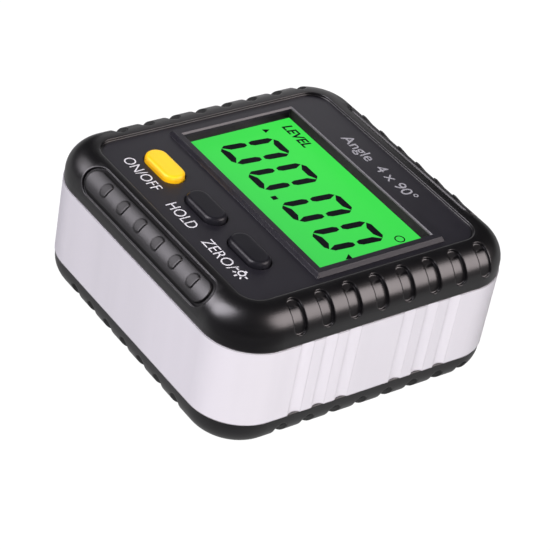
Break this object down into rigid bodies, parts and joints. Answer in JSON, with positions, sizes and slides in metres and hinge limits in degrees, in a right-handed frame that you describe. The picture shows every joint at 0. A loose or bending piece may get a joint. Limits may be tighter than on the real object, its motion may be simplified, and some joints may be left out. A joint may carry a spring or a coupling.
{
  "type": "digital angle gauge",
  "caption": "Square pocket angle gauge with a silver aluminium frame, charcoal covers, a green backlit display, stadium keys, a magnetic base and a battery bay.",
  "frame": {"origin": "bottom centre of the gauge lying on its back", "axes": "+Z out of the display, +X along the reading, +Y towards the top of the reading"},
  "size_m": [0.06, 0.06, 0.0281],
  "materials": {
    "frame_metal": "fine satin, anodised",
    "cover_plastic": "fine satin grain",
    "door_plastic": "fine satin grain",
    "key_yellow": "satin silicone",
    "key_black": "satin silicone",
    "lcd_glass": "backlit display film",
    "clear_plastic": "clear moulded",
    "white_plastic": "satin",
    "strip_rubber": "layered silicone",
    "board_laminate": "solder mask",
    "chip_plastic": "moulded",
    "cell_can": "plain sleeve",
    "contact_metal": "bright plated",
    "screw_metal": "zinc plated",
    "magnet_metal": "nickel plated"
  },
  "bodies": {
    "case": {"aluminium_frame": "frame_metal", "front_cover": "cover_plastic", "rear_cover": "cover_plastic", "switch_bodies": "contact_metal", "lcd_panel": "lcd_glass", "light_guide": "clear_plastic", "lcd_holder": "white_plastic", "contact_strip": "strip_rubber", "main_board": "board_laminate", "controller_chip": "chip_plastic", "tilt_sensor": "chip_plastic", "backlight_leds": "clear_plastic", "battery_a": "cell_can", "battery_b": "cell_can", "terminal_plates": "contact_metal", "link_plate": "contact_metal", "contact_springs": "contact_metal", "base_magnets": "magnet_metal", "case_screws": "screw_metal", "board_screws": "screw_metal"},
    "power_key": {"key_power": "key_yellow", "plunger_power": "chip_plastic"},
    "hold_key": {"key_hold": "key_black", "plunger_hold": "chip_plastic"},
    "zero_key": {"key_zero": "key_black", "plunger_zero": "chip_plastic"},
    "door": {"battery_door": "door_plastic"}
  },
  "joints": [
    {"name": "key_power_press", "type": "slide", "parent": "case", "child": "power_key", "axis": [0, 0, -1], "range_m": [0, 0.0006], "stiffness_N_per_m": 1200},
    {"name": "key_hold_press", "type": "slide", "parent": "case", "child": "hold_key", "axis": [0, 0, -1], "range_m": [0, 0.0006], "stiffness_N_per_m": 1200},
    {"name": "key_zero_press", "type": "slide", "parent": "case", "child": "zero_key", "axis": [0, 0, -1], "range_m": [0, 0.0006], "stiffness_N_per_m": 1200},
    {"name": "battery_door_hinge", "type": "hinge", "parent": "case", "child": "door", "pos_m": [0, -0.011, 0.0003], "axis": [-1, 0, 0], "range_deg": [0, 80]}
  ]
}
